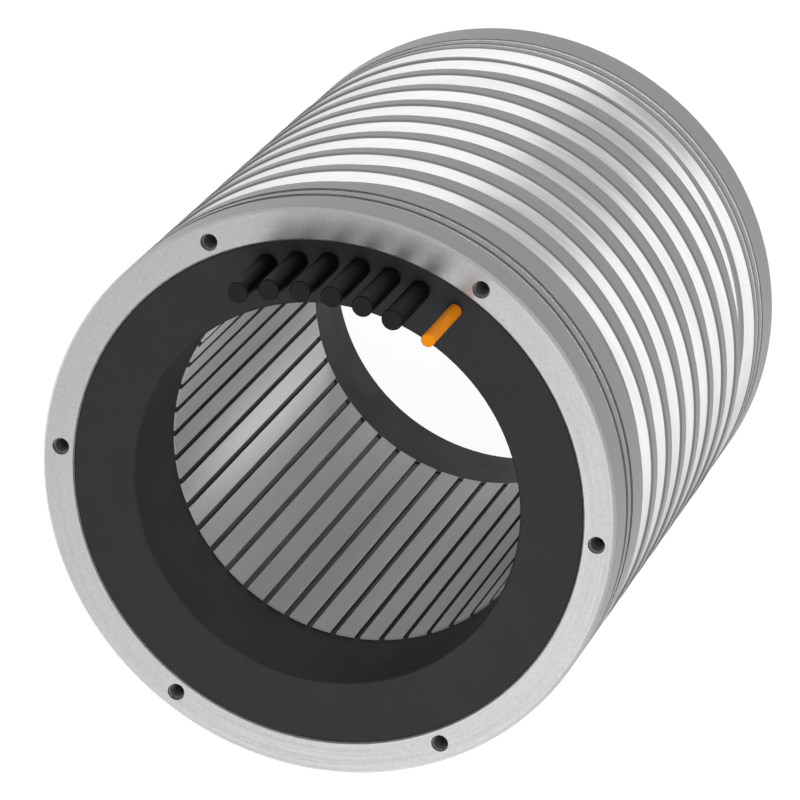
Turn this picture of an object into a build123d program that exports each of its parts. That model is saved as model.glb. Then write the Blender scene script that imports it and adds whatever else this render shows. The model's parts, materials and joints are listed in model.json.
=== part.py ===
from build123d import *
import os
from math import atan2, cos, degrees, radians, sin, tan

# Stator of a frameless, liquid-cooled spindle motor, in millimetres.
# It stands on its rear face. The origin is the centre of that face, and +Z runs along
# the motor axis to the lead end. One tapped hole lies on +X, and +Y is the middle of
# the six phase leads.

# Cooling jacket: a turned sleeve that the customer's housing closes
jacket_r = 100.0
jacket_wall = 11.2
rear_band_step = 0.4
outer_chamfer = 1.0
bore_chamfer = 0.5

# Cooling groove: one start, right-handed, run out into a ring groove at the rear
groove_turns = 8
groove_width = 14.8
groove_depth = 3.9
ring_groove_depth = 4.2
groove_wall_angle = 24.8
groove_front_inset = 34.3
groove_rear_inset = 35.4
groove_phase = 166.1
overcut = 1.0

# Two O-ring grooves at each end of the jacket
seal_width = 3.0
seal_depth = 2.2
seal_spacing = 6.4
front_seal_inset = 14.7
rear_seal_inset = 17.5

# Tapped holes in the front face, M6 by the outer diameter of their thread
hole_count = 6
hole_r = 3.0
hole_depth = 15.0
hole_inset = 6.3
drill_point_angle = 118.0

# Lamination stack and its potted winding heads
stack_length = 162.0
front_head_length = 40.8
rear_head_length = 30.7
potting_bore_step = 0.7
potting_set_back = 0.2
potting_edge = 0.5

# Semi-closed slots with parallel-sided teeth, from the yoke inwards
slot_count = 48
yoke_width = 9.3
slot_depth = 13.1
tooth_width = 4.2
slot_opening = 2.0
tooth_tip = 1.1
tip_slope = 1.0
wedge_land = 0.5
liner_thickness = 0.35
liner_cuff = 3.0

# Winding: four coil groups for each of three phases, their heads on three tiers
groups_per_phase = 4
group_slots = 8
first_lead_slot = 9
phase_step = 4
tiers = 3
head_offset = 1.0
head_cover = 1.0
foot_inset = 0.3
cuff_gap = 0.5
tier_gap = 0.5
rear_cover = 4.2

# Links that join the coil groups in series, and the risers that feed them
link_thickness = 2.4
link_gap = 0.4
link_width = 2.4
riser_offset = 1.1
riser_width = 3.0

# Phase leads: rubber sheaths sealed at their ends, crimped to the risers
lead_offset = 2.0
lead_r = 3.6
lead_reach = 32.0
lead_seal = 3.0
lead_edge = 0.4
lead_embed = 4.5
conductor_r = 2.1
crimp_offset = 0.5
crimp_r = 3.8
crimp_length = 4.6
crimp_grip = 2.2

# Temperature sensor on the winding head, with its own thin lead
sensor_azimuth = 61.9
sensor_offset = 2.5
sensor_lead_r = 2.3
sensor_wire_r = 0.6
sensor_wire_spacing = 1.4
sensor_r = 2.2
sensor_length = 6.0
sensor_edge = 0.8

# Stations along the motor axis
stack_rear = rear_head_length
stack_front = stack_rear + stack_length
jacket_length = stack_front + front_head_length
potting_front = jacket_length - potting_set_back
sheath_foot = jacket_length - lead_embed
crimp_foot = sheath_foot - crimp_length
lead_end = jacket_length + lead_reach
conductor_foot = sheath_foot - crimp_grip
riser_top = crimp_foot + crimp_grip
conductor_end = lead_end - lead_seal

# Radii, from the jacket's surface inwards
jacket_bore_r = jacket_r - jacket_wall
hole_circle_r = jacket_r - hole_inset
slot_bottom_r = jacket_bore_r - yoke_width
bore_r = slot_bottom_r - slot_depth
potting_bore_r = bore_r + potting_bore_step
head_r_in = slot_bottom_r + head_offset
head_r_out = jacket_bore_r - head_cover
link_r_in = head_r_out - link_width
riser_r = slot_bottom_r - riser_offset
lead_circle_r = slot_bottom_r + lead_offset
crimp_circle_r = slot_bottom_r + crimp_offset
sensor_circle_r = slot_bottom_r + sensor_offset

# Slot pitch, and the radii that the slot's pieces share
slot_pitch = 360.0 / slot_count
tip_r = bore_r + tooth_tip
seat_r = tip_r + tip_slope
wedge_r = seat_r + wedge_land
bar_r_out = slot_bottom_r - liner_thickness

# Tiers of the winding heads: the links take the front room that the heads leave
link_stack = tiers * link_thickness + tiers * link_gap
front_room = crimp_foot - stack_front - link_stack - tier_gap
head_start = liner_cuff + cuff_gap
front_tier = (front_room - head_start - (tiers - 1) * tier_gap) / tiers
rear_tier = (rear_head_length - rear_cover - head_start - (tiers - 1) * tier_gap) / tiers
link_foot = crimp_foot - link_stack


def slot_azimuth(slot):
    """Azimuth of a slot's middle: tooth middles line up with the tapped holes."""
    return (slot + 0.5) * slot_pitch


def slot_half_width(r):
    """Half the width of a slot at the distance r, between parallel-sided teeth."""
    half = radians(slot_pitch / 2)
    return r * tan(half) - tooth_width / 2 / cos(half)


def bar_half_width(r):
    """Half the width of a slot bar at the distance r, inside its liner."""
    return slot_half_width(r) - liner_thickness


def polar(r, azimuth):
    return (r * cos(radians(azimuth)), r * sin(radians(azimuth)))


def mirrored(half_outline):
    """Closes an outline given by its lower half, from the bore outwards."""
    return half_outline + [(x, -y) for x, y in reversed(half_outline)]


def ring_sector(r_in, r_out, start, end):
    """Face of a ring between two radii and two azimuths."""
    with BuildSketch() as sector:
        with BuildLine():
            outer = CenterArc((0, 0), r_out, start, end - start)
            inner = CenterArc((0, 0), r_in, start, end - start)
            Line(inner @ 0, outer @ 0)
            Line(inner @ 1, outer @ 1)
        make_face()
    return sector.sketch


# Lamination stack

slot_outline = mirrored([
    (bore_r - tooth_tip, -slot_opening / 2),
    (tip_r, -slot_opening / 2),
    (seat_r, -slot_half_width(seat_r)),
    (slot_bottom_r, -slot_half_width(slot_bottom_r)),
])

with BuildPart() as lamination_stack:
    with BuildSketch(Plane.XY.offset(stack_rear)):
        Circle(jacket_bore_r)
        Circle(bore_r, mode=Mode.SUBTRACT)
        with PolarLocations(0, slot_count, start_angle=slot_azimuth(0)):
            Polygon(*slot_outline, align=None, mode=Mode.SUBTRACT)
    extrude(amount=stack_length)

# Slot wedges: they close each slot behind its opening

wedge_outline = mirrored([
    (tip_r, -slot_opening / 2),
    (seat_r, -slot_half_width(seat_r)),
    (wedge_r, -slot_half_width(wedge_r)),
])

with BuildPart() as slot_wedges:
    with BuildSketch(Plane.XY.offset(stack_rear)):
        with PolarLocations(0, slot_count, start_angle=slot_azimuth(0)):
            Polygon(*wedge_outline, align=None)
    extrude(amount=stack_length)

# Slot liners: folded insulating paper, with a cuff past each end of the stack

bar_outline = mirrored([
    (wedge_r, -bar_half_width(wedge_r)),
    (bar_r_out, -bar_half_width(bar_r_out)),
])
liner_outline = mirrored([
    (wedge_r, -slot_half_width(wedge_r)),
    (slot_bottom_r, -slot_half_width(slot_bottom_r)),
])

with BuildPart() as slot_liners:
    with BuildSketch(Plane.XY.offset(stack_rear - liner_cuff)):
        with PolarLocations(0, slot_count, start_angle=slot_azimuth(0)):
            Polygon(*liner_outline, align=None)
            Polygon(*bar_outline, align=None, mode=Mode.SUBTRACT)
    extrude(amount=stack_length + 2 * liner_cuff)

# Coil groups: four slot bars joined by a C-shaped head at each end of the stack

bar_half_angle = degrees(atan2(bar_half_width(bar_r_out), bar_r_out))


def coil_head(first_slot):
    """Outline of a winding head: an arc over the back iron, with a foot on each slot pair."""
    start = slot_azimuth(first_slot) - bar_half_angle
    end = slot_azimuth(first_slot + group_slots - 1) + bar_half_angle
    foot = slot_pitch + 2 * bar_half_angle
    foot_r = wedge_r - foot_inset
    with BuildSketch() as head:
        add(ring_sector(head_r_in, head_r_out, start, end))
        add(ring_sector(foot_r, head_r_in, start, start + foot))
        add(ring_sector(foot_r, head_r_in, end - foot, end))
    return head.sketch


def front_tier_start(tier):
    return stack_front + head_start + tier * (front_tier + tier_gap)


def rear_tier_start(tier):
    return stack_rear - head_start - tier * (rear_tier + tier_gap)


def coil_group(first_slot, tier):
    """One coil group, with its heads on the given tier."""
    last_slot = first_slot + group_slots - 1
    with BuildPart() as coil:
        with BuildSketch(Plane.XY.offset(rear_tier_start(tier))):
            for slot in (first_slot, first_slot + 1, last_slot - 1, last_slot):
                with PolarLocations(0, 1, start_angle=slot_azimuth(slot)):
                    Polygon(*bar_outline, align=None)
        extrude(amount=front_tier_start(tier) - rear_tier_start(tier))
        with BuildSketch(Plane.XY.offset(front_tier_start(tier))):
            add(coil_head(first_slot))
        extrude(amount=front_tier)
        with BuildSketch(Plane.XY.offset(rear_tier_start(tier))):
            add(coil_head(first_slot))
        extrude(amount=-rear_tier)
    return coil.part


# Risers and links: they join a phase's coil groups in series and feed its two leads


def riser(slot, foot, top):
    """Square bar along the axis, in line with a slot."""
    with BuildPart() as bar:
        with BuildSketch(Plane.XY.offset(foot)):
            with PolarLocations(riser_r, 1, start_angle=slot_azimuth(slot)):
                Rectangle(riser_width, riser_width)
        extrude(amount=top - foot)
    return bar.part


def link_start(tier):
    return link_foot + tier * (link_thickness + link_gap)


def phase_link(slot, next_slot, tier, feeds_lead=False):
    """Strip from a riser on one head to the next head's riser, or up to a lead."""
    head_top = front_tier_start(tier) + front_tier
    strip_top = link_start(tier) + link_thickness
    low, high = sorted((slot_azimuth(slot), slot_azimuth(next_slot)))
    arm_start = riser_r - riser_width / 2
    arm_end = (link_r_in + head_r_out) / 2
    with BuildPart() as link:
        with BuildSketch(Plane.XY.offset(link_start(tier))):
            add(ring_sector(link_r_in, head_r_out, low, high))
            for end_slot in (slot, next_slot):
                with PolarLocations(arm_start, 1, start_angle=slot_azimuth(end_slot)):
                    Rectangle(arm_end - arm_start, riser_width, align=(Align.MIN, Align.CENTER))
        extrude(amount=link_thickness)
        add(riser(slot, head_top, link_start(tier)))
        if feeds_lead:
            add(riser(next_slot, strip_top, riser_top))
        else:
            add(riser(next_slot, head_top, link_start(tier)))
    return link.part


# The phases: slot of the lead's own riser, way round the bore, and tier of the heads
phases = {
    "u": (first_lead_slot, 1, 0),
    "v": (first_lead_slot + phase_step, 1, 1),
    "w": (first_lead_slot + phase_step - 1, -1, 2),
}
group_step = slot_count // groups_per_phase
far_slot = group_slots - 2

coils = {}
links = {}
lead_slots = {}
for phase, (near_slot, way, tier) in phases.items():
    near_slots = [near_slot + way * group_step * number for number in range(groups_per_phase)]
    for number, near in enumerate(near_slots, start=1):
        first_slot = min(near, near + way * (group_slots - 1))
        coils[f"coil_{phase}{number}"] = coil_group(first_slot, tier)

    return_slot = near_slot + way * (slot_count + 1)
    with BuildPart() as phase_links:
        for near, next_near in zip(near_slots, near_slots[1:]):
            add(phase_link(near + way * far_slot, next_near, tier))
        add(phase_link(near_slots[-1] + way * far_slot, return_slot, tier, feeds_lead=True))
        add(riser(near_slot, front_tier_start(tier) + front_tier, riser_top))
    links[f"links_{phase}"] = phase_links.part
    lead_slots[f"{phase}1"] = near_slot
    lead_slots[f"{phase}2"] = return_slot

# Phase leads: a sheath, its stranded conductor, and the crimp that joins it to its riser


def rod(r, centre, start, end):
    """Round rod along the axis."""
    with BuildPart() as bar:
        with BuildSketch(Plane.XY.offset(start)):
            with Locations(centre):
                Circle(r)
        extrude(amount=end - start)
    return bar.part


def sheath(r, centre, cores, foot, end):
    """Sheath with a sealed, eased end, moulded round its cores."""
    with BuildPart() as cover:
        add(rod(r, centre, foot, end))
        chamfer(cover.edges().group_by(Axis.Z)[-1], lead_edge)
        add(cores, mode=Mode.SUBTRACT)
    return cover.part


sheaths = {}
conductors = {}
for name, slot in lead_slots.items():
    centre = polar(lead_circle_r, slot_azimuth(slot))
    conductors[f"conductor_{name}"] = rod(conductor_r, centre, conductor_foot, conductor_end)
    cores = [conductors[f"conductor_{name}"]]
    sheaths[f"lead_{name}"] = sheath(lead_r, centre, cores, sheath_foot, lead_end)

with BuildPart() as crimp_sleeves:
    with BuildSketch(Plane.XY.offset(crimp_foot)):
        for slot in lead_slots.values():
            with PolarLocations(crimp_circle_r, 1, start_angle=slot_azimuth(slot)):
                Circle(crimp_r)
    extrude(amount=crimp_length)
    add([*links.values(), *conductors.values()], mode=Mode.SUBTRACT)

# Temperature sensor: a bead on the top winding head, with two wires in a thin lead

sensor_foot = front_tier_start(tiers - 1) + front_tier
sensor_centre = polar(sensor_circle_r, sensor_azimuth)

with BuildPart() as temperature_sensor:
    add(rod(sensor_r, sensor_centre, sensor_foot, sensor_foot + sensor_length))
    chamfer(temperature_sensor.edges().group_by(Axis.Z)[-1], sensor_edge)

with BuildPart() as sensor_wires:
    with BuildSketch(Plane.XY.offset(sensor_foot + sensor_length)):
        with PolarLocations(sensor_circle_r, 1, start_angle=sensor_azimuth):
            with GridLocations(0, sensor_wire_spacing, 1, 2):
                Circle(sensor_wire_r)
    extrude(amount=conductor_end - sensor_foot - sensor_length)

sensor_lead = sheath(sensor_lead_r, sensor_centre, [sensor_wires.part], sheath_foot, lead_end)

# Potting: resin cast round the winding heads, flush with the jacket's ends

embedded = [slot_liners.part, *coils.values(), *links.values(), *sheaths.values()]
embedded += [*conductors.values(), crimp_sleeves.part, temperature_sensor.part]
embedded += [sensor_wires.part, sensor_lead]


def potting(foot, top, exposed):
    """Ring of resin between two stations, with eased edges on its exposed face."""
    with BuildPart() as ring:
        with BuildSketch(Plane.XY.offset(foot)):
            Circle(jacket_bore_r)
            Circle(potting_bore_r, mode=Mode.SUBTRACT)
        extrude(amount=top - foot)
        chamfer(ring.edges().filter_by_position(Axis.Z, exposed, exposed), potting_edge)
        add(embedded, mode=Mode.SUBTRACT)
    return ring.part


front_potting = potting(stack_front, potting_front, potting_front)
rear_potting = potting(potting_set_back, stack_rear, potting_set_back)

# Cooling groove: a tapered channel swept along a helix, closed by a round end in front

groove_rear = groove_rear_inset
groove_front = jacket_length - groove_front_inset
wall_slope = tan(radians(groove_wall_angle))


def half_channel(depth):
    """Half the width of a coolant channel at a depth below the jacket's surface."""
    return groove_width / 2 - wall_slope * depth


def channel_outline(depth):
    """Outline of a coolant channel, from its floor to a little outside the jacket."""
    return mirrored([
        (-depth, -half_channel(depth)),
        (overcut, -half_channel(-overcut)),
    ])


with BuildPart() as cooling_groove:
    with BuildLine(Plane.XY.offset(groove_rear)) as groove_path:
        Helix(
            pitch=(groove_front - groove_rear) / groove_turns,
            height=groove_front - groove_rear,
            radius=jacket_r,
        )
    start = groove_path.line @ 0
    outward = Vector(start.X, start.Y, 0).normalized()
    with BuildSketch(Plane(start, x_dir=outward, z_dir=groove_path.line % 0)):
        Polygon(*channel_outline(groove_depth), align=None)
    sweep(path=groove_path.line, is_frenet=True)
    with BuildSketch(Plane(groove_path.line @ 1 - groove_depth * outward, z_dir=outward)):
        Circle(half_channel(groove_depth))
    extrude(amount=groove_depth + overcut, taper=-groove_wall_angle)

# Cooling jacket

seal_stations = [
    rear_seal_inset,
    rear_seal_inset + seal_spacing,
    jacket_length - front_seal_inset,
    jacket_length - front_seal_inset - seal_spacing,
]
rear_band_r = jacket_r - rear_band_step

with BuildPart() as cooling_jacket:
    with BuildSketch(Plane.XZ) as jacket_section:
        with Locations((jacket_bore_r, 0)):
            Rectangle(jacket_r - jacket_bore_r, jacket_length, align=(Align.MIN, Align.MIN))
        with Locations((rear_band_r, 0)):
            Rectangle(rear_band_step, groove_rear, align=(Align.MIN, Align.MIN), mode=Mode.SUBTRACT)
        corners = jacket_section.vertices()
        end_corners = corners.group_by(Axis.Y)[0] + corners.group_by(Axis.Y)[-1]
        chamfer(end_corners.sort_by(Axis.X)[:2], bore_chamfer)
        chamfer(end_corners.sort_by(Axis.X)[2:], outer_chamfer)
        with Locations((jacket_r, groove_rear)):
            Polygon(*channel_outline(ring_groove_depth), align=None, mode=Mode.SUBTRACT)
        for station in seal_stations:
            with Locations((jacket_r, station)):
                Rectangle(2 * seal_depth, seal_width, mode=Mode.SUBTRACT)
    revolve(axis=Axis.Z)
    add(cooling_groove.part, rotation=(0, 0, groove_phase), mode=Mode.SUBTRACT)

    with Locations(Plane.XY.offset(jacket_length)):
        with PolarLocations(hole_circle_r, hole_count):
            Hole(hole_r, depth=hole_depth)
    drill_point = hole_r / tan(radians(drill_point_angle / 2))
    with Locations(Plane.XY.offset(jacket_length - hole_depth)):
        with PolarLocations(hole_circle_r, hole_count):
            Cone(
                bottom_radius=0,
                top_radius=hole_r,
                height=drill_point,
                align=(Align.CENTER, Align.CENTER, Align.MAX),
                mode=Mode.SUBTRACT,
            )

# Files

pieces = {
    "cooling_jacket": cooling_jacket.part,
    "lamination_stack": lamination_stack.part,
    "slot_liners": slot_liners.part,
    "slot_wedges": slot_wedges.part,
    **coils,
    **links,
    "front_potting": front_potting,
    "rear_potting": rear_potting,
    **sheaths,
    **conductors,
    "crimp_sleeves": crimp_sleeves.part,
    "sensor_lead": sensor_lead,
    "sensor_wires": sensor_wires.part,
    "temperature_sensor": temperature_sensor.part,
}
os.makedirs("parts", exist_ok=True)
for name, piece in pieces.items():
    piece.label = name
    export_step(piece, f"parts/{name}.step")
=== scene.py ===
import json
from math import cos, pi, radians, sin

import bpy
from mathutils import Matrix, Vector


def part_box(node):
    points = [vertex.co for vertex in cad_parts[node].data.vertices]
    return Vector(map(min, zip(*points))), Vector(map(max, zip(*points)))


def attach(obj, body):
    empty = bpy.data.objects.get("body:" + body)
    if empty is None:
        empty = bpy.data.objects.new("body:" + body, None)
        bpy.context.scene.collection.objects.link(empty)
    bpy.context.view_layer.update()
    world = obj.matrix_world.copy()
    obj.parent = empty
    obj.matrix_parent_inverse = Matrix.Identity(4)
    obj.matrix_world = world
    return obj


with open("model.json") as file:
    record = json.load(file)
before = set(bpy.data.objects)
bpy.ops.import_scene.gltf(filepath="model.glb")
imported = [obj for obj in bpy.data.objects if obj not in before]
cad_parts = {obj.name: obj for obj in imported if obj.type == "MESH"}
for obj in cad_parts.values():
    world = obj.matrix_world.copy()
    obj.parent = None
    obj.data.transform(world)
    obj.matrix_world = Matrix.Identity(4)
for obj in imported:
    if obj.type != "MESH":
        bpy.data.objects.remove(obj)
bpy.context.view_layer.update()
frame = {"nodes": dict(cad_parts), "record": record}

# Looks, light and camera for the stator of a frameless spindle motor.
# The stator stands on its rear face. +Z runs along the axis to the lead end, +X goes
# through a tapped hole, and +Y is the middle of the six phase leads.

MM = 0.001

# Sizes read from the frame
jacket_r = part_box("cooling_jacket")[1].x
jacket_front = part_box("cooling_jacket")[1].z
resin_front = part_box("front_potting")[1].z
lead_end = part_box("lead_u1")[1].z

# Sizes that the frame's boxes don't give
skin_depth = 0.75 * MM
edge_break = 1.0 * MM
channel_rear = 27.5 * MM
channel_front = 207.5 * MM
hole_circle_r = 93.7 * MM
hole_r = 3.0 * MM
hole_count = 6

# Noise mostly lies between these two values
noise_low = 0.3
noise_high = 0.7
bump_strength = 0.4


def linear(value):
    """One sRGB channel from 0 to 255 as linear light."""
    share = value / 255
    if share <= 0.04045:
        return share / 12.92
    return ((share + 0.055) / 1.055) ** 2.4


def color(code):
    """An sRGB hex colour such as "8C8F91" as linear RGBA."""
    return tuple(linear(int(code[i:i + 2], 16)) for i in (0, 2, 4)) + (1.0,)


def add_node(tree, kind, inputs, output=0, **settings):
    """Adds a shader node, sets or links its inputs, and gives back one of its outputs."""
    node = tree.nodes.new("ShaderNode" + kind)
    for name, value in settings.items():
        setattr(node, name, value)
    for name, value in inputs.items():
        if isinstance(value, bpy.types.NodeSocket):
            tree.links.new(value, node.inputs[name])
        else:
            node.inputs[name].default_value = value
    return node.outputs[output]


def new_finish(name, **sockets):
    """A material with its Principled shader set, its node tree and its Object coordinates."""
    material = bpy.data.materials.new(name)
    material.use_nodes = True
    tree = material.node_tree
    shader = tree.nodes["Principled BSDF"]
    for socket, value in sockets.items():
        shader.inputs[socket.replace("_", " ")].default_value = value
    return material, tree, shader, add_node(tree, "TexCoord", {}, "Object")


def lengthwise(tree, place, across, along, detail=3.0):
    """Noise in spots of a given width, drawn out along the motor axis to a given length."""
    squeeze = {0: place, 1: (1, 1, across / along)}
    squeezed = add_node(tree, "VectorMath", squeeze, operation="MULTIPLY")
    noise = {"Vector": squeezed, "Scale": 1 / across, "Detail": detail}
    return add_node(tree, "TexNoise", noise)


def axis_distance(tree, place):
    """Distance from the motor axis."""
    flat = add_node(tree, "VectorMath", {0: place, 1: (1, 1, 0)}, operation="MULTIPLY")
    return add_node(tree, "VectorMath", {0: flat}, "Value", operation="LENGTH")


def tool_marks(tree, place, spacing, length):
    """Noise in marks of a given spacing, drawn out round the motor axis to a given length."""
    along = add_node(tree, "SeparateXYZ", {0: place}, "Z")
    across = add_node(tree, "Math", {0: axis_distance(tree, place), 1: along})
    stretched = add_node(tree, "Math", {0: across, 1: length / spacing}, operation="MULTIPLY")
    flat = add_node(tree, "VectorMath", {0: place, 1: (1, 1, 0)}, operation="MULTIPLY")
    lift = add_node(tree, "CombineXYZ", {"Z": stretched})
    lifted = add_node(tree, "VectorMath", {0: flat, 1: lift})
    return add_node(tree, "TexNoise", {"Vector": lifted, "Scale": 1 / length, "Detail": 3.0})


def tint(tree, noise, dark, light):
    """Colour that goes from dark to light as a noise goes from its low to its high spots."""
    spread = {"Value": noise, "From Min": noise_low, "From Max": noise_high}
    colors = {0: add_node(tree, "MapRange", spread), 6: color(dark), 7: color(light)}
    return add_node(tree, "Mix", colors, 2, data_type="RGBA")


def dress(tree, shader, base, noise, smooth, rough, relief):
    """Links a colour to the shader, and a noise as its roughness range and its relief."""
    spread = {
        "Value": noise,
        "From Min": noise_low,
        "From Max": noise_high,
        "To Min": smooth,
        "To Max": rough,
    }
    bump = {"Height": noise, "Distance": relief, "Strength": bump_strength}
    tree.links.new(base, shader.inputs["Base Color"])
    tree.links.new(add_node(tree, "MapRange", spread), shader.inputs["Roughness"])
    tree.links.new(add_node(tree, "Bump", bump), shader.inputs["Normal"])


# Materials


def turned_aluminium():
    """Turned aluminium bar: a satin skin with fine rings left by the tool.

    The coolant channel is milled and smoother than the skin, the seal grooves are blunt, and
    the end faces are faced and have a fine grain. The channel, the seal grooves and the
    broken front edge are painted near white, a painted reflection; the tapped holes are a
    grey lighter than the skin but darker than the other cut faces, painted shade inside them.
    """
    material, tree, shader, place = new_finish("turned_aluminium", Metallic=1.0)
    radius = axis_distance(tree, place)
    z = add_node(tree, "SeparateXYZ", {0: place}, "Z")

    # Each mask goes from 0 to 1 between two places a fade or so apart
    fade = 0.1 * MM
    groove_fade = 0.225 * MM
    groove_top = jacket_r - skin_depth
    hole_side = hole_circle_r + hole_r
    break_foot = jacket_front - edge_break
    break_side = jacket_r - edge_break
    spans = {
        "groove": (radius, groove_top, groove_top - groove_fade),
        "hole": (radius, hole_side + 3 * fade, hole_side + 1.5 * fade),
        "past_rear": (z, channel_rear, channel_rear + fade),
        "before_front": (z, channel_front, channel_front - fade),
        "front_face": (z, jacket_front - fade, jacket_front - 0.2 * fade),
        "rear_face": (z, 2 * fade, fade),
        "above_foot": (z, break_foot, break_foot + 0.5 * fade),
        "outside": (radius, break_side - 2 * fade, break_side - fade),
    }
    mask = {
        name: add_node(tree, "MapRange", {"Value": value, "From Min": start, "From Max": end})
        for name, (value, start, end) in spans.items()
    }
    both_ends = {0: mask["past_rear"], 1: mask["before_front"]}
    channel_span = add_node(tree, "Math", both_ends, operation="MULTIPLY")
    deep_span = {0: mask["groove"], 1: channel_span}
    channel = add_node(tree, "Math", deep_span, operation="MULTIPLY")
    rim = {0: mask["above_foot"], 1: mask["outside"]}
    broken_edge = add_node(tree, "Math", rim, operation="MULTIPLY")
    end_face = add_node(tree, "Math", {0: mask["front_face"], 1: mask["rear_face"]})

    # Tool marks every 0.2 mm are drawn 0.9 mm apart, so that they show
    marks = tool_marks(tree, place, spacing=0.9 * MM, length=60 * MM)
    grain = lengthwise(tree, place, across=0.9 * MM, along=0.9 * MM, detail=4.0)
    base = tint(tree, marks, "828283", "949495")
    # Painted reflection: the cut faces below the skin, the channel and the broken edge are
    # near white. Painted shade: the tapped holes are greyer than them.
    layers = (
        (mask["groove"], color("FFFFFF")),
        (mask["hole"], color("B0B0B0")),
        (channel, tint(tree, marks, "F0F0EE", "FFFFFD")),
        (broken_edge, color("F4F4F2")),
        (end_face, tint(tree, grain, "AAAAAC", "B5B5B7")),
    )
    for share, shade in layers:
        base = add_node(tree, "Mix", {0: share, 6: base, 7: shade}, 2, data_type="RGBA")
    dress(tree, shader, base, marks, smooth=0.36, rough=0.46, relief=0.01 * MM)

    # The channel and the end faces are smoother than the skin, and what else lies below
    # it, which is the seal grooves and the holes, is blunter
    bright = add_node(tree, "Math", {0: channel, 1: end_face}, operation="MAXIMUM")
    blunt = add_node(tree, "Math", {0: mask["groove"], 1: bright}, operation="SUBTRACT")
    roughness = shader.inputs["Roughness"].links[0].from_socket
    for share, change in ((channel, -0.24), (end_face, -0.07), (blunt, 0.4)):
        changed = {0: share, 1: change, 2: roughness}
        roughness = add_node(tree, "Math", changed, operation="MULTIPLY_ADD")
    tree.links.new(roughness, shader.inputs["Roughness"])
    return material


def lamination_steel():
    """Stacked electrical steel with a ground bore: grey, with faint streaks and sheets.

    The scratches of the grinding run round the axis and draw light out along the bore.
    """
    material, tree, shader, place = new_finish(
        "lamination_steel", Metallic=1.0, Anisotropic=1.0, Anisotropic_Rotation=0.25,
    )
    # Sheets of 0.35 mm are drawn 1.1 mm apart, so that they show
    sheets = tool_marks(tree, place, spacing=1.1 * MM, length=400 * MM)
    streaks = lengthwise(tree, place, across=30 * MM, along=300 * MM)
    edges = {"Value": sheets, "From Min": 0.35, "From Max": 0.65, "To Max": 0.08}
    layered = {
        0: add_node(tree, "MapRange", edges),
        6: tint(tree, streaks, "C8C8CA", "E0E0E2"),
        7: color("A8A8A8"),
    }
    base = add_node(tree, "Mix", layered, 2, data_type="RGBA")
    dress(tree, shader, base, sheets, smooth=0.46, rough=0.54, relief=0.02 * MM)
    return material


def cast_resin():
    """Filled casting resin: charcoal, matte, faintly cloudy where the filler settled."""
    material, tree, shader, place = new_finish("cast_resin", IOR=1.5, Specular_IOR_Level=0.2)
    clouds = lengthwise(tree, place, across=14 * MM, along=14 * MM, detail=5.0)
    filler = lengthwise(tree, place, across=0.8 * MM, along=0.8 * MM)
    # Only the filler's highest spots show, as faint pale specks
    specks = {"Value": filler, "From Min": 0.62, "From Max": 0.75, "To Max": 0.35}
    speckled = {
        0: add_node(tree, "MapRange", specks),
        6: tint(tree, clouds, "282A2C", "2F3133"),
        7: color("3B3E40"),
    }
    base = add_node(tree, "Mix", speckled, 2, data_type="RGBA")
    dress(tree, shader, base, clouds, smooth=0.5, rough=0.6, relief=0.08 * MM)
    return material


def glass_laminate():
    """Pressed glass-fibre laminate of the slot wedges: nearly black, fibres lengthwise."""
    material, tree, shader, place = new_finish("glass_laminate", IOR=1.55)
    fibres = lengthwise(tree, place, across=0.6 * MM, along=20 * MM)
    base = tint(tree, fibres, "171716", "292826")
    dress(tree, shader, base, fibres, smooth=0.45, rough=0.6, relief=0.02 * MM)
    return material


def silicone_sheath(name, dark, light, end_and_highlight):
    """Extruded silicone sheath: matte, with faint draw lines and an end face in its own
    colour.
    """
    material, tree, shader, place = new_finish(name, IOR=1.42, Specular_IOR_Level=0.15)
    lines = lengthwise(tree, place, across=0.7 * MM, along=14 * MM)
    z = add_node(tree, "SeparateXYZ", {0: place}, "Z")
    end = {"Value": z, "From Min": lead_end - 0.3 * MM, "From Max": lead_end - 0.05 * MM}
    # The end face gets its own colour; on the black sheath it is lighter, a painted
    # highlight.
    with_end_and_highlight = {
        0: add_node(tree, "MapRange", end),
        6: tint(tree, lines, dark, light),
        7: color(end_and_highlight),
    }
    base = add_node(tree, "Mix", with_end_and_highlight, 2, data_type="RGBA")
    dress(tree, shader, base, lines, smooth=0.42, rough=0.56, relief=0.03 * MM)
    return material


def enamelled_copper():
    """Enamelled copper wire pressed into bars: glossy amber, with the wires lengthwise."""
    material, tree, shader, place = new_finish(
        "enamelled_copper", Metallic=1.0, Coat_Weight=0.6,
    )
    wires = lengthwise(tree, place, across=0.9 * MM, along=45 * MM)
    base = tint(tree, wires, "8A4420", "C9773F")
    dress(tree, shader, base, wires, smooth=0.2, rough=0.34, relief=0.2 * MM)
    return material


def liner_paper():
    """Aramid slot paper: pale straw, matte, with short pressed fibres."""
    material, tree, shader, place = new_finish("liner_paper", IOR=1.5)
    fibres = lengthwise(tree, place, across=1.2 * MM, along=3 * MM, detail=6.0)
    base = tint(tree, fibres, "D4C9A8", "EBE3CB")
    dress(tree, shader, base, fibres, smooth=0.75, rough=0.9, relief=0.03 * MM)
    return material


def tinned_copper(name, spacing):
    """Tinned copper: soft silver with fine marks at the given spacing along the axis."""
    material, tree, shader, place = new_finish(name, Metallic=1.0)
    strands = lengthwise(tree, place, across=spacing, along=5 * spacing)
    base = tint(tree, strands, "A9A8A4", "CFCECA")
    dress(tree, shader, base, strands, smooth=0.25, rough=0.4, relief=0.05 * MM)
    return material


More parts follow.
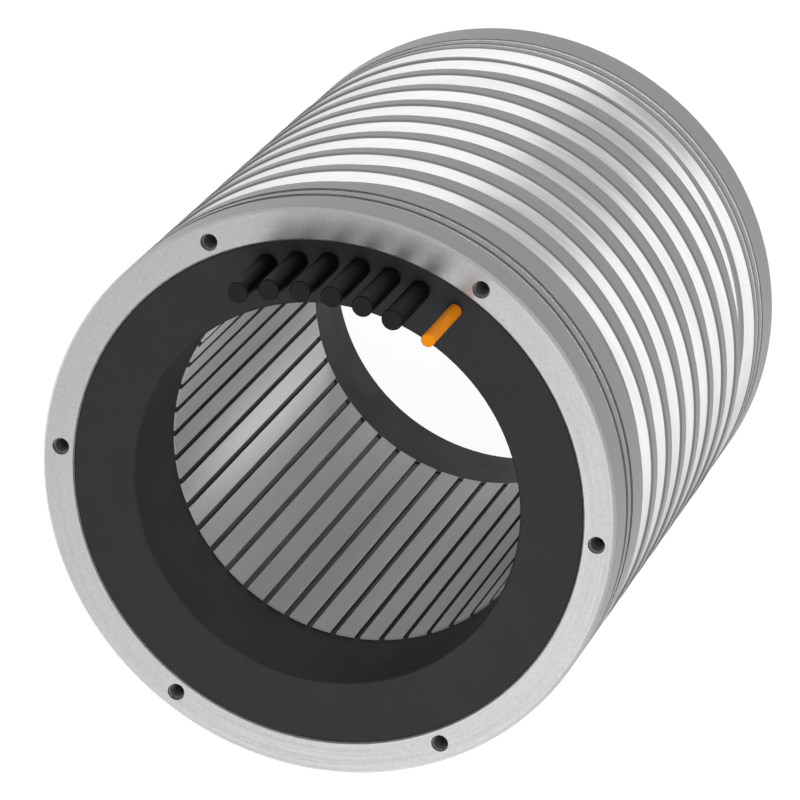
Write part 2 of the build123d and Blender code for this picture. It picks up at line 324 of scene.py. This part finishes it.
def sensor_glass():
    """Fused glass bead of the sensor: amber brown, glossy, with a cloudy core."""
    material, tree, shader, place = new_finish("sensor_glass", IOR=1.5)
    cloud = lengthwise(tree, place, across=2.0 * MM, along=2.0 * MM)
    base = tint(tree, cloud, "8D6A3A", "BFA071")
    dress(tree, shader, base, cloud, smooth=0.08, rough=0.2, relief=0.01 * MM)
    return material


finishes = {
    "jacket_aluminium": turned_aluminium(),
    "lamination_steel": lamination_steel(),
    "liner_paper": liner_paper(),
    "wedge_composite": glass_laminate(),
    "enamelled_copper": enamelled_copper(),
    "potting_resin": cast_resin(),
    # The black sheath's end colour is lighter than its body: a painted highlight on the end
    # face.
    "lead_rubber": silicone_sheath("black_silicone", "060606", "0E0E0F", end_and_highlight="1E1F20"),
    "tinned_strand": tinned_copper("tinned_strand", spacing=0.5 * MM),
    "tinned_copper": tinned_copper("tinned_sleeve", spacing=1.5 * MM),
    "sensor_rubber": silicone_sheath("orange_silicone", "F08A0E", "FC9A1A", end_and_highlight="F29210"),
    "sensor_glass": sensor_glass(),
}

for part in frame["record"]["subparts"]:
    node = frame["nodes"][part["node"]]
    node.data.materials.clear()
    node.data.materials.append(finishes[part["material_slot"]])

# New pieces: threads in the tapped holes, and resin drawn up round the leads

weld_gap = 0.001 * MM
outline_corners = 8
smooth_angle = 40


def select_corners(piece, is_wanted):
    """Selects the corners of a piece in edit mode by their place in it."""
    bpy.ops.object.mode_set(mode="OBJECT")
    for corner in piece.data.vertices:
        corner.select = is_wanted(corner.co)
    bpy.ops.object.mode_set(mode="EDIT")


def upright_outline(name, centre, distance, width, height):
    """A rectangle's outline that stands at a distance from the centre it will turn about."""
    bpy.ops.object.select_all(action="DESELECT")
    bpy.ops.mesh.primitive_plane_add(size=1, location=centre, rotation=(pi / 2, 0, 0))
    piece = bpy.context.object
    piece.name = name
    bpy.ops.object.mode_set(mode="EDIT")
    bpy.ops.mesh.delete(type="ONLY_FACE")
    bpy.ops.mesh.select_all(action="SELECT")
    bpy.ops.transform.resize(value=(width, 1, height), center_override=centre)
    bpy.ops.transform.translate(value=(distance, 0, height / 2))
    return piece


def turn_outline(piece, steps, turns=1, rise=0.0):
    """Turns an outline about its centre, closes it and puts its origin at the world's."""
    bpy.ops.object.mode_set(mode="OBJECT")
    turning = piece.modifiers.new("turning", "SCREW")
    turning.axis = "Y"
    turning.steps = steps
    turning.render_steps = steps
    turning.iterations = turns
    turning.screw_offset = rise
    bpy.ops.object.modifier_apply(modifier="turning")
    bpy.ops.object.mode_set(mode="EDIT")
    bpy.ops.mesh.select_all(action="SELECT")
    bpy.ops.mesh.remove_doubles(threshold=weld_gap)
    bpy.ops.mesh.fill_holes(sides=outline_corners)
    bpy.ops.mesh.select_all(action="SELECT")
    bpy.ops.mesh.normals_make_consistent(inside=False)
    bpy.ops.object.mode_set(mode="OBJECT")
    bpy.ops.object.transform_apply(location=True, rotation=True, scale=True)
    bpy.ops.object.shade_smooth_by_angle(angle=radians(smooth_angle))


def turned_copy(piece, name, turn):
    """A copy with its own mesh, turned about the motor axis."""
    copy = piece.copy()
    copy.data = piece.data.copy()
    copy.name = name
    bpy.context.scene.collection.objects.link(copy)
    bpy.ops.object.select_all(action="DESELECT")
    bpy.context.view_layer.objects.active = copy
    copy.select_set(True)
    copy.rotation_euler = (0, 0, turn)
    bpy.ops.object.transform_apply(location=True, rotation=True, scale=True)
    return copy


def fit_piece(piece, slot):
    """Gives a finished piece its material and lets it ride with the stator."""
    piece.data.materials.clear()
    piece.data.materials.append(finishes[slot])
    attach(piece, "root")


# M6 thread: 1 mm pitch, 0.5 mm high, with a flat crest a quarter as wide as its base
thread_pitch = 1.0 * MM
thread_height = 0.5 * MM
thread_base = 0.92 * MM
thread_crest_share = 0.25
thread_turns = 12
thread_foot = jacket_front - 13.5 * MM
thread_mid_r = hole_r - thread_height / 2

hole_centre = (hole_circle_r, 0, thread_foot)
thread = upright_outline("thread_1", hole_centre, thread_mid_r, thread_height, thread_base)
select_corners(thread, lambda place: place.x < thread_mid_r)
crest_centre = (hole_circle_r + hole_r - thread_height, 0, thread_foot + thread_base / 2)
bpy.ops.transform.resize(value=(1, 1, thread_crest_share), center_override=crest_centre)
turn_outline(thread, steps=32, turns=thread_turns, rise=thread_pitch)
threads = [thread]
for number in range(1, hole_count):
    turn = 2 * pi * number / hole_count
    threads.append(turned_copy(thread, f"thread_{number + 1}", turn))
for piece in threads:
    fit_piece(piece, "jacket_aluminium")

# The resin creeps up a sheath by 0.9 mm, in a hollow curve
creep = 0.9 * MM
creep_hollow = 0.62 * creep


def resin_collar(name, lead):
    """Resin drawn up round a lead where it leaves the potting."""
    low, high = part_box(lead)
    centre = ((low.x + high.x) / 2, (low.y + high.y) / 2, resin_front)
    collar_mid_r = (high.x - low.x) / 2 + creep / 2
    collar = upright_outline(name, centre, collar_mid_r, creep, creep)
    select_corners(collar, lambda place: place.x > collar_mid_r and place.y > creep / 2)
    bpy.ops.transform.translate(value=(-creep_hollow, 0, -creep_hollow))
    turn_outline(collar, steps=40)
    return collar


for lead in ("lead_u1", "lead_u2", "lead_v1", "lead_v2", "lead_w1", "lead_w2", "sensor_lead"):
    fit_piece(resin_collar(f"collar_{lead}", lead), "potting_resin")

# Floor


def seen_rays(tree):
    """1 for rays from the camera, from a mirror or through glass, and 0 for soft light."""
    camera_ray = add_node(tree, "LightPath", {}, "Is Camera Ray")
    glossy_ray = add_node(tree, "LightPath", {}, "Is Glossy Ray")
    glass_ray = add_node(tree, "LightPath", {}, "Is Transmission Ray")
    seen = add_node(tree, "Math", {0: camera_ray, 1: glossy_ray}, operation="MAXIMUM")
    return add_node(tree, "Math", {0: seen, 1: glass_ray}, operation="MAXIMUM")


floor_size = 6.0
floor_white = 1.12
floor_share = 0.85


def white_floor():
    """White studio floor: matte paint to soft light, white with a faint shadow if seen."""
    material, tree, shader, place = new_finish("white_floor")
    blotches = lengthwise(tree, place, across=400 * MM, along=400 * MM)
    base = tint(tree, blotches, "EFEFEF", "F3F3F3")
    dress(tree, shader, base, blotches, smooth=0.85, rough=0.95, relief=0.0)
    glow = add_node(tree, "Emission", {"Color": color("FFFFFF"), "Strength": floor_white})
    share = add_node(tree, "Math", {0: seen_rays(tree), 1: floor_share}, operation="MULTIPLY")
    both = add_node(tree, "MixShader", {0: share, 1: shader.outputs["BSDF"], 2: glow})
    tree.links.new(both, tree.nodes["Material Output"].inputs["Surface"])
    return material


bpy.ops.object.select_all(action="DESELECT")
bpy.ops.mesh.primitive_plane_add(size=floor_size, location=(0, 0, 0))
floor = bpy.context.object
floor.name = "floor"
floor.data.materials.append(white_floor())

# Studio


def toward(azimuth, elevation, distance=1.0):
    """The way to a place at a distance, in a direction given in degrees."""
    level = cos(radians(elevation))
    return distance * Vector((
        level * cos(radians(azimuth)),
        level * sin(radians(azimuth)),
        sin(radians(elevation)),
    ))


def sky_patch(tree, ray, azimuth, elevation, radius, edge, strength):
    """A round patch of the sky: full within its radius, and nothing past its soft edge."""
    to_patch = {0: ray, 1: toward(azimuth, elevation)}
    facing = add_node(tree, "VectorMath", to_patch, "Value", operation="DOT_PRODUCT")
    return add_node(tree, "MapRange", {
        "Value": facing,
        "From Min": cos(radians(radius + edge)),
        "From Max": cos(radians(radius)),
        "To Max": strength,
    })


# The studio is white. Metal shows greys in it: a low wall all round, the dark niche that
# the camera stands in, and a curtain that shades one side of the front ring. A window
# brightens the ring's other side. The camera itself never sees them.
ambient_strength = 0.5
wall_foot = 28
wall_top = 50
wall_depth = 0.7

world = bpy.data.worlds.new("studio")
bpy.context.scene.world = world
world.use_nodes = True
sky = world.node_tree
ray = add_node(sky, "TexCoord", {}, "Generated")
rise = add_node(sky, "SeparateXYZ", {0: ray}, "Z")
wall = add_node(sky, "MapRange", {
    "Value": rise,
    "From Min": sin(radians(wall_top)),
    "From Max": sin(radians(wall_foot)),
    "To Max": wall_depth,
})
niche = sky_patch(sky, ray, azimuth=57, elevation=64, radius=6, edge=8, strength=0.5)
curtain = sky_patch(sky, ray, azimuth=206, elevation=66, radius=6, edge=14, strength=0.9)
window = sky_patch(sky, ray, azimuth=268, elevation=58, radius=10, edge=16, strength=1.6)
dark_patches = add_node(sky, "Math", {0: niche, 1: curtain})
greys = add_node(sky, "Math", {0: wall, 1: dark_patches}, use_clamp=True)
patches = add_node(sky, "Math", {0: window, 1: greys}, operation="SUBTRACT")
glossy_ray = add_node(sky, "LightPath", {}, "Is Glossy Ray")
mirrored = add_node(sky, "Math", {0: patches, 1: glossy_ray}, operation="MULTIPLY")
plain = {"Value": seen_rays(sky), "To Min": ambient_strength, "To Max": 1.0}
strength = add_node(sky, "Math", {0: add_node(sky, "MapRange", plain), 1: mirrored})
sky.links.new(strength, sky.nodes["Background"].inputs["Strength"])
sky.nodes["Background"].inputs["Color"].default_value = color("FFFFFF")


def hang_lamp(name, kind, aim, azimuth, elevation, distance, power):
    """A lamp that shines at a point, from a direction given in degrees."""
    lamp = bpy.data.lights.new(name, kind)
    lamp.energy = power
    holder = bpy.data.objects.new(name, lamp)
    bpy.context.scene.collection.objects.link(holder)
    holder.location = aim + toward(azimuth, elevation, distance)
    holder.rotation_euler = (radians(90 - elevation), 0, radians(azimuth + 90))
    return holder


# Two square softboxes face the middle of the stator, and leave no hot spot on metal
middle = Vector((0, 0, jacket_front / 2))
key = hang_lamp("key", "AREA", middle, azimuth=-40, elevation=72, distance=1.6, power=9)
fill = hang_lamp("fill", "AREA", middle, azimuth=20, elevation=30, distance=1.8, power=5)
key.data.size = 0.6
fill.data.size = 1.2
for softbox in (key, fill):
    softbox.visible_glossy = False

# A snooted lamp looks into the bore and gives its ground wall one long sheen
bore_wall = Vector((-60, -24, 105)) * MM
sheen = hang_lamp(
    "bore_sheen", "SPOT", bore_wall, azimuth=2, elevation=58, distance=1.6, power=16,
)
sheen.data.spot_size = radians(3.6)
sheen.data.spot_blend = 0.6
sheen.data.shadow_soft_size = 0.03

# The photograph's camera: a long lens that looks down at the lead end
camera_place = (0.45614, 0.67506, 1.88138)
camera_turn = (-19.1934, 16.4173, 4.8410)
camera_lens = 248.16
camera_sensor = 36

camera = bpy.data.objects.new("camera", bpy.data.cameras.new("camera"))
bpy.context.scene.collection.objects.link(camera)
camera.location = camera_place
camera.rotation_euler = [radians(angle) for angle in camera_turn]
camera.data.lens = camera_lens
camera.data.sensor_width = camera_sensor
bpy.context.scene.camera = camera

bpy.context.scene.view_settings.view_transform = "Standard"
